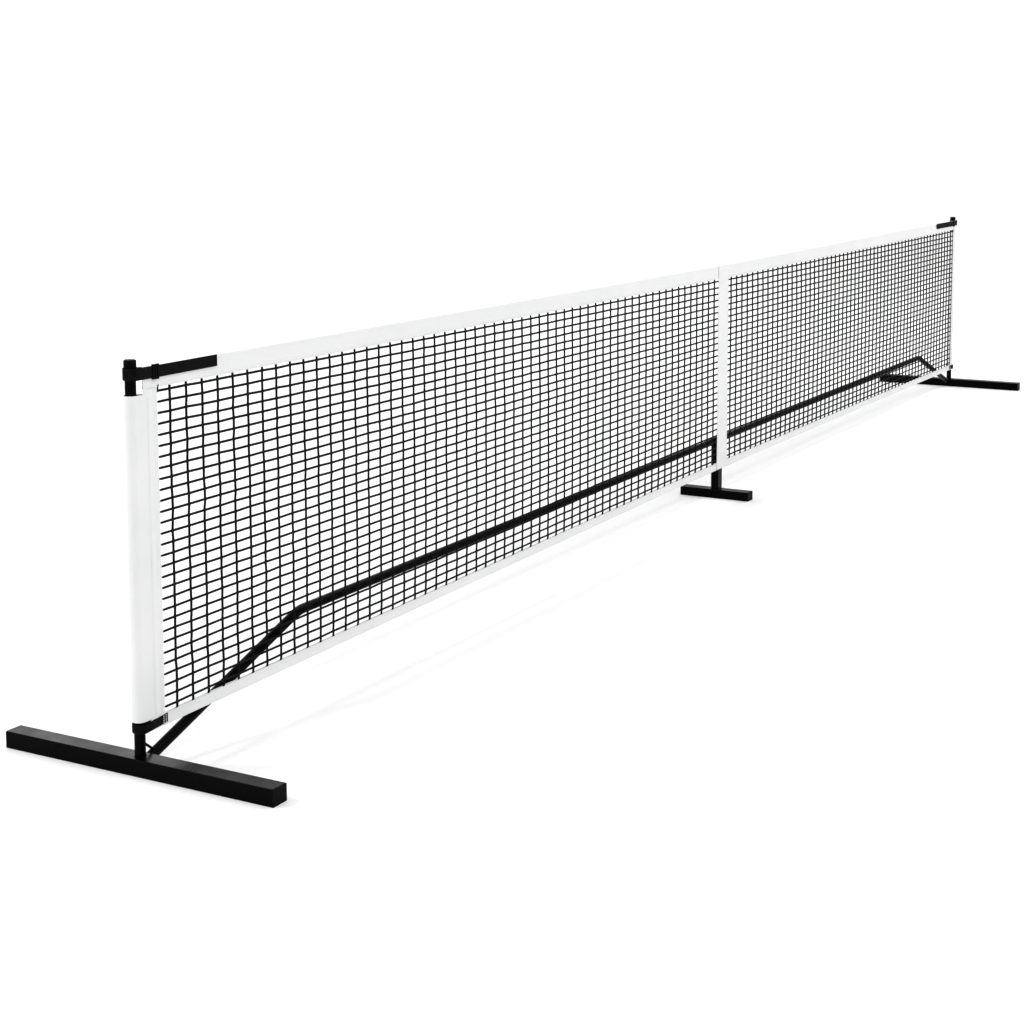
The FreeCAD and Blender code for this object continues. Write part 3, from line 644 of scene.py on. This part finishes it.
def band_path(sleeve):
    """Section (x, y) of the left side band: front layer, round the post if sleeved, back layer."""
    inner = -BAND_X
    front_y = TAPE_FRONT + CLOTH / 2
    back_y = TAPE_BACK - CLOTH / 2
    if not sleeve:
        start_x = -POST_X + FLAP_START
        return even([(inner, front_y), (start_x, front_y), (start_x, back_y), (inner, back_y)], 5 * MM)
    seam_x = -POST_X + SEAM_REACH
    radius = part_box("left_side_band")[1][1] - SLEEVE_CLOTH
    front_touch = touch_angle(seam_x, front_y, radius, -1)
    back_touch = touch_angle(seam_x, back_y, radius, 1)
    wrap = arc_points((-POST_X, 0), radius, front_touch, back_touch - 360, 40)
    front = [(inner, front_y), (seam_x, front_y)]
    back = [(seam_x, back_y), (inner, back_y)]
    return even(np.vstack([front, wrap, back]), 3 * MM)


def upright_line(x, y, heights):
    """Points up a vertical line."""
    return np.stack([np.full_like(heights, x), np.full_like(heights, y), heights], axis=1)


def make_side_band(side):
    """The white band at one end of the net, with the sleeve that the post fills."""
    sign = -1 if side == "right" else 1
    sleeve_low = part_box("left_side_band")[0][2]
    flap_high = top_edge(POST_X) - TOP_TAPE
    shells = []
    for sleeve, low, high in ((True, sleeve_low, SLEEVE_TOP), (False, SLEEVE_TOP, flap_high)):
        outline = thickened(band_path(sleeve), CLOTH)
        steps = max(3, int((high - low) / (8 * MM)))
        heights = np.linspace(low, high, steps)
        loops = np.zeros((steps, len(outline), 3))
        loops[..., 0] = outline[None, :, 0]
        loops[..., 1] = outline[None, :, 1]
        loops[..., 2] = heights[:, None]
        flat = np.clip((outline[:, 0] + POST_X - 10 * MM) / (40 * MM), 0, 1)
        ripple = BAND_RIPPLE * waves(heights, 0.31, 4, seed=11 + (side == "right"))
        loops[..., 1] -= ripple[:, None] * flat[None, :]
        edge = np.clip((outline[:, 0] + BAND_X) / EDGE_PULL_REACH + 1, 0, 1)
        pull = BAND_PULL * waves(heights, 0.09, 3, seed=17 + (side == "right"))
        loops[..., 0] += pull[:, None] * edge[None, :]
        flare = lip_flare(-BAND_X - outline[:, 0]) * np.sign(outline[:, 1] - NET_Y)
        loops[..., 1] += flare[None, :]
        shells.append(loft(loops))
    vertices, faces = joined(shells)
    vertices = vertices * (sign, 1, 1)
    if sign < 0:
        faces = [face[::-1] for face in faces]
    piece = add_piece(f"{side}_band", vertices, faces, "white", "net", 60)
    rows = []
    heights = np.linspace(sleeve_low + 6 * MM, SLEEVE_TOP - 4 * MM, 90)
    for x in (-BAND_X - LIP_REACH, -POST_X + SEAM_REACH - 3 * MM, -POST_X + SEAM_REACH + 1 * MM):
        for face, outward in ((TAPE_FRONT, (0, -1, 0)), (TAPE_BACK, (0, 1, 0))):
            rows.append(stitches_along(upright_line(sign * x, face, heights), outward))
    vertices, faces = joined(rows)
    seam = add_piece(f"{side}_band_stitching", vertices, faces, "white_thread", "net", 180)
    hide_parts(f"{side}_side_band")


EDGE_SEAM = 4 * MM
STRAP_CREASE = 0.7 * MM
THREAD_SUNK = 0.35 * MM


def make_centre_strap():
    """The white strap down the middle of the net, and its stitching."""
    low, high = (Vector(corner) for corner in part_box("centre_strap"))
    half, middle_y = (high.x - low.x) / 2, (low.y + high.y) / 2
    thickness = (high.y - low.y) / 2
    width_steps = np.linspace(-half, half, 25)
    outline = thickened(np.stack([width_steps, np.zeros(25)], axis=1), thickness)
    heights = np.linspace(low.z, high.z, 110)
    loops = np.zeros((len(heights), len(outline), 3))
    narrow = 1 - 0.012 * (1 + waves(heights, 0.3, 3, seed=31))
    loops[..., 0] = outline[None, :, 0] * narrow[:, None]
    crease = STRAP_CREASE * waves(heights, 0.24, 4, seed=33)[:, None]
    crease = crease * np.cos(outline[None, :, 0] / half * 1.4)
    loops[..., 1] = middle_y + 0.3 * MM + outline[None, :, 1] - np.abs(crease)
    loops[..., 2] = heights[:, None]
    vertices, faces = loft(loops)
    strap = add_piece("middle_strap", vertices, faces, "white", "net", 60)
    rows = []
    for x in (-half + EDGE_SEAM, half - EDGE_SEAM):
        rows.append(stitches_along(upright_line(x, low.y + THREAD_SUNK, heights[2:-2]), (0, -1, 0)))
    vertices, faces = joined(rows)
    seam = add_piece("middle_strap_stitching", vertices, faces, "white_thread", "net", 180)
    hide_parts("centre_strap")


WING = 28 * MM
WING_GAP = 5 * MM


def make_pole_sleeve():
    """A cloth tunnel behind the mesh: sewn down flat at both sides, round over the pole."""
    low, high = (Vector(corner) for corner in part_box("pole_sleeve"))
    centre_y = (low.y + high.y) / 2
    radius = (high.y - low.y) / 2 - CLOTH / 2
    base_y = NET_Y + CORD_RADIUS * (1 + KNOT_SWELL) + CLOTH
    path = [(-WING, base_y), (-radius - WING_GAP, base_y)]
    path += arc_points((0, centre_y), radius, 215, -35, 28).tolist()
    path += [(radius + WING_GAP, base_y), (WING, base_y)]
    outline = thickened(even(path, 1.5 * MM), CLOTH)
    heights = np.linspace(low.z, high.z, 80)
    loops = np.zeros((len(heights), len(outline), 3))
    loops[..., 0] = outline[None, :, 0] + 0.4 * MM * waves(heights, 0.2, 3, seed=41)[:, None]
    loops[..., 1] = outline[None, :, 1]
    loops[..., 2] = heights[:, None]
    vertices, faces = loft(loops)
    sleeve = add_piece("pole_tunnel", vertices, faces, "white", "net", 60)
    rows = []
    inner_seam = radius + WING_GAP + 2 * MM
    for x in (-WING + EDGE_SEAM, WING - EDGE_SEAM, -inner_seam, inner_seam):
        rows.append(stitches_along(upright_line(x, base_y + CLOTH / 2, heights[1:-1]), (0, 1, 0)))
    vertices, faces = joined(rows)
    seam = add_piece("pole_tunnel_stitching", vertices, faces, "white_thread", "net", 180)
    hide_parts("pole_sleeve")


# ---------------------------------------------------------------------------------------------------------
# Webbing
# ---------------------------------------------------------------------------------------------------------

WEB = 1.5 * MM
LOW_STRAP_LIFT = 6 * MM
ROUND_ENDED = "right_top_strap"
STRAP_OVERLAP = 44 * MM
STITCH_INSET = 3 * MM
TACK_SPACING = 7.5 * MM


def web_loops(path, low, height, sign):
    """A strap of webbing along an (x, y) path, with rounded selvedges."""
    path = np.asarray(path, float)
    along = np.gradient(path, axis=0)
    along /= np.linalg.norm(along, axis=1)[:, None]
    normal = np.stack([-along[:, 1], along[:, 0]], axis=1)
    rise = np.array([0, 0.25, 1, 2, 3, 3.75, 4]) / 4
    bulge = np.array([0.35, 0.85, 1, 1, 1, 0.85, 0.35])
    section = [*zip(rise, bulge), *zip(rise[::-1], -bulge[::-1])]
    loops = np.zeros((len(path), len(section), 3))
    for i, (share, side) in enumerate(section):
        spot = path + normal * side * WEB / 2
        loops[:, i, 0] = spot[:, 0] * sign
        loops[:, i, 1] = spot[:, 1]
        loops[:, i, 2] = low + height * share
    vertices, faces = loft(loops)
    if sign < 0:
        faces = [face[::-1] for face in faces]
    return vertices, faces


def make_strap(side, which, marks):
    """A tension strap: from its free end along the tape, round the post and back under itself."""
    node = f"{side}_{which}_strap"
    sign = 1 if side == "left" else -1
    low, high = (Vector(corner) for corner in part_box(node))
    front_y = low.y + WEB / 2
    under_y = front_y + WEB + 0.15 * MM
    radius = high.y - WEB / 2
    end_x = -min(abs(low.x), abs(high.x))
    sewn_x = -POST_X + STRAP_OVERLAP
    drop = front_y + radius
    front = [(end_x, front_y), (-POST_X, front_y)]
    wrap = arc_points((-POST_X, drop), radius, 270, 180, 14).tolist()
    wrap += arc_points((-POST_X, 0), radius, 180, 10, 26).tolist()
    back = [(-POST_X + radius * 0.93, -radius * 0.35), (-POST_X + 24 * MM, under_y), (sewn_x, under_y)]
    path = even(front + wrap + back, 2.2 * MM)

    def lift(x):
        """The lower strap's free end rises with the tape that it is sewn to."""
        run = np.clip((x + POST_X) / (end_x + POST_X), 0, 1)
        return LOW_STRAP_LIFT * run * (which == "bottom")

    vertices, faces = web_loops(path, low.z, high.z - low.z, sign)
    if node == ROUND_ENDED:
        middle, half = (low.z + high.z) / 2, (high.z - low.z) / 2
        from_corner = np.clip(1 - (end_x - vertices[:, 0] * sign) / half, 0, 0.98)
        vertices[:, 2] = middle + (vertices[:, 2] - middle) * np.sqrt(1 - from_corner ** 2)
    vertices[:, 2] += lift(vertices[:, 0] * sign)
    strap = add_piece(f"{node}_webbing", vertices, faces, "webbing", "net", 50)
    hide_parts(node)

    def row(points):
        line = np.array([(sign * x, low.y, z + lift(x)) for x, z in points])
        return stitches_along(line, (0, -1, 0), pitch=3.2 * MM)

    x0 = -POST_X + STRAP_OVERLAP / 2
    x1 = sewn_x - STITCH_INSET
    z0 = low.z + STITCH_INSET
    z1 = high.z - STITCH_INSET
    corners = [(x0, z0), (x1, z0), (x1, z1), (x0, z1)]
    runs = [(0, 1), (1, 2), (2, 3), (3, 0), (0, 2), (3, 1)]
    vertices, faces = joined([row([corners[a], corners[b]]) for a, b in runs])
    add_piece(f"{node}_box_stitch", vertices, faces, "black_thread", "net", 180)
    if marks:
        places = []
        for column in range(2):
            x = end_x - 2 * STITCH_INSET - column * TACK_SPACING
            for line in range(4):
                z = low.z + (high.z - low.z) * (0.15 + 0.23 * line)
                places.append((sign * x, low.y, z + lift(x)))
        places = np.array(places)
        half_tack = np.array([sign * 2.2 * MM, 0, 0.6 * MM])
        vertices, faces = stitch_row(places - half_tack, places + half_tack, (0, -1, 0), 2.6 * MM, 0.6 * MM)
        add_piece(f"{node}_bar_tacks", vertices, faces, "pale_thread", "net", 180)


# ---------------------------------------------------------------------------------------------------------
# Welds
# ---------------------------------------------------------------------------------------------------------

BEAD = 1.6 * MM
SOCKET_HEIGHT = 25.4 * MM
RAIL_SLOPE = math.radians(19)
STUB_CORNERS = 0.3


def bead(points, normals):
    """A weld bead of overlapping ripples round a closed path."""
    points, normals = np.asarray(points, float), np.asarray(normals, float)
    count = len(points)
    along = np.roll(points, -1, axis=0) - np.roll(points, 1, axis=0)
    along /= np.linalg.norm(along, axis=1)[:, None]
    side = np.cross(along, normals)
    ripple = 1 + 0.16 * np.abs(np.sin(np.arange(count) * math.pi / 4)) + 0.08 * rng.uniform(-1, 1, count)
    angles = 2 * math.pi * np.arange(8) / 8
    ring = np.cos(angles)[None, :, None] * normals[:, None, :]
    ring = ring + np.sin(angles)[None, :, None] * side[:, None, :]
    return loft(points[:, None, :] + ring * (BEAD * ripple)[:, None, None], closed=True)


def ring_bead(centre, first, second, radius_a, radius_b, count=96):
    """A bead round an ellipse spanned by two directions."""
    angles = 2 * math.pi * np.arange(count) / count
    first, second = np.asarray(first, float), np.asarray(second, float)
    out = np.cos(angles)[:, None] * first + np.sin(angles)[:, None] * second
    points = np.asarray(centre) + radius_a * np.cos(angles)[:, None] * first
    points = points + radius_b * np.sin(angles)[:, None] * second
    return bead(points, out)


def make_welds():
    """Beads where the post stubs, the rail sockets and the centre stub are welded on."""
    base_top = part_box("left_base_bar")[1][2]
    base_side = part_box("left_base_bar")[1][0]
    tube = POST_RADIUS
    for side in SIDES:
        sign = 1 if side == "left" else -1
        stub = ring_bead((-sign * POST_X, 0, base_top), (1, 0, 0), (0, 1, 0), tube, tube)
        mouth = (sign * base_side, 0, SOCKET_HEIGHT)
        socket = ring_bead(mouth, (0, 1, 0), (0, 0, 1), tube, tube / math.cos(RAIL_SLOPE))
        vertices, faces = joined([stub, socket])
        add_piece(f"{side}_base_welds", vertices, faces, "coat", "frame", 80)
    stub_low, stub_high = (Vector(corner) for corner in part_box("centre_stub"))
    steps = np.linspace(0, 2 * math.pi, 160, endpoint=False)
    out = np.stack([np.cos(steps), np.sin(steps), 0 * steps], axis=1)
    # A squared-off round follows the rectangular stub.
    points = np.sign(out) * np.abs(out) ** STUB_CORNERS * (stub_high.x, stub_high.y, 0)
    points[:, 2] = stub_low.z
    vertices, faces = bead(points, out)
    add_piece("centre_stub_weld", vertices, faces, "coat", "frame", 80)


# ---------------------------------------------------------------------------------------------------------
# Springs
# ---------------------------------------------------------------------------------------------------------

def make_springs():
    """The V springs inside the tubes, one behind each snap button, each copied from its CAD spring onto the frame
    as a piece with a mesh of its own.
    """
    for joint in frame["joints"]:
        if not joint["name"].endswith("_button_press"):
            continue
        place = joint["name"].removesuffix("_button_press")
        node = frame["nodes"][f"{place}_spring"]
        vertices = [node.matrix_world @ vertex.co for vertex in node.data.vertices]
        faces = [list(polygon.vertices) for polygon in node.data.polygons]
        leaf = add_piece(f"{place}_leaf", vertices, faces, "steel", "frame")
        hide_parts(f"{place}_spring")
        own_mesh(leaf)


# ---------------------------------------------------------------------------------------------------------
# Camera, light and floor
# ---------------------------------------------------------------------------------------------------------

CAMERA_PLACE = (-6.2857, -2.5738, 1.4358)
CAMERA_YAW = 61.04
CAMERA_PITCH = 6.47
CAMERA_ROLL = -0.15
CAMERA_LENS = 62.13
CAMERA_SHIFT_Y = -0.1817
FLOOR_HALF = 200.0
SKY = 1.13
NEAR_BASE = (-3.35, 0, 0)


def make_camera():
    """The camera that sees the net as the product view does."""
    data = bpy.data.cameras.new("camera")
    data.sensor_width = 36
    data.lens = CAMERA_LENS
    data.shift_y = CAMERA_SHIFT_Y
    data.clip_end = 200
    camera = bpy.data.objects.new("camera", data)
    bpy.context.scene.collection.objects.link(camera)
    yaw, pitch = math.radians(CAMERA_YAW), math.radians(CAMERA_PITCH)
    forward = Vector((math.sin(yaw) * math.cos(pitch), math.cos(yaw) * math.cos(pitch), -math.sin(pitch)))
    turn = forward.to_track_quat("-Z", "Y").to_matrix().to_4x4()
    roll = Matrix.Rotation(math.radians(CAMERA_ROLL), 4, "Z")
    camera.matrix_world = Matrix.Translation(CAMERA_PLACE) @ turn @ roll
    bpy.context.scene.camera = camera


def area_light(name, place, size, power, target=None):
    """A soft box that faces its target, or straight down if it has none."""
    data = bpy.data.lights.new(name, "AREA")
    data.shape = "RECTANGLE"
    data.size, data.size_y = size
    data.energy = power
    light = bpy.data.objects.new(name, data)
    light.visible_camera = False
    light.location = place
    if target:
        light.rotation_euler = (Vector(target) - Vector(place)).to_track_quat("-Z", "Y").to_euler()
    bpy.context.scene.collection.objects.link(light)


def make_stage():
    """A plain pale floor, a white sky, a long strip light over the net and two soft boxes behind it."""
    mesh = bpy.data.meshes.new("floor")
    corners = [(x * FLOOR_HALF, y * FLOOR_HALF, 0) for x, y in ((-1, -1), (1, -1), (1, 1), (-1, 1))]
    mesh.from_pydata(corners, [], [(0, 1, 2, 3)])
    mesh.materials.append(LOOKS["floor"])
    floor = bpy.data.objects.new("floor", mesh)
    bpy.context.scene.collection.objects.link(floor)
    world = bpy.data.worlds.new("studio")
    world.use_nodes = True
    sky = world.node_tree.nodes["Background"]
    sky.inputs["Color"].default_value = (1, 1, 1, 1)
    sky.inputs["Strength"].default_value = SKY
    bpy.context.scene.world = world
    area_light("strip", (4.0, -2.4, 5.2), (16.0, 0.35), 150)
    area_light("edge", (-5.4, 3.3, 4.4), (0.9, 0.6), 90, target=NEAR_BASE)
    area_light("glow", (5.7, 7.9, 4.3), (5.0, 2.5), 150, target=NEAR_BASE)
    bpy.context.scene.view_settings.view_transform = "Standard"
    bpy.context.scene.view_settings.gamma = 0.85


dress_frame()
make_mesh()
make_tape("top_tape", "upper_tape", TOP_TAPE, top_edge, True, seed=51)
make_tape("bottom_tape", "lower_tape", LOW_TAPE, low_edge, False, seed=57)
for side in SIDES:
    make_side_band(side)
    make_strap(side, "top", marks=False)
    make_strap(side, "bottom", marks=True)
make_centre_strap()
make_pole_sleeve()
make_welds()
make_springs()
make_camera()
make_stage()
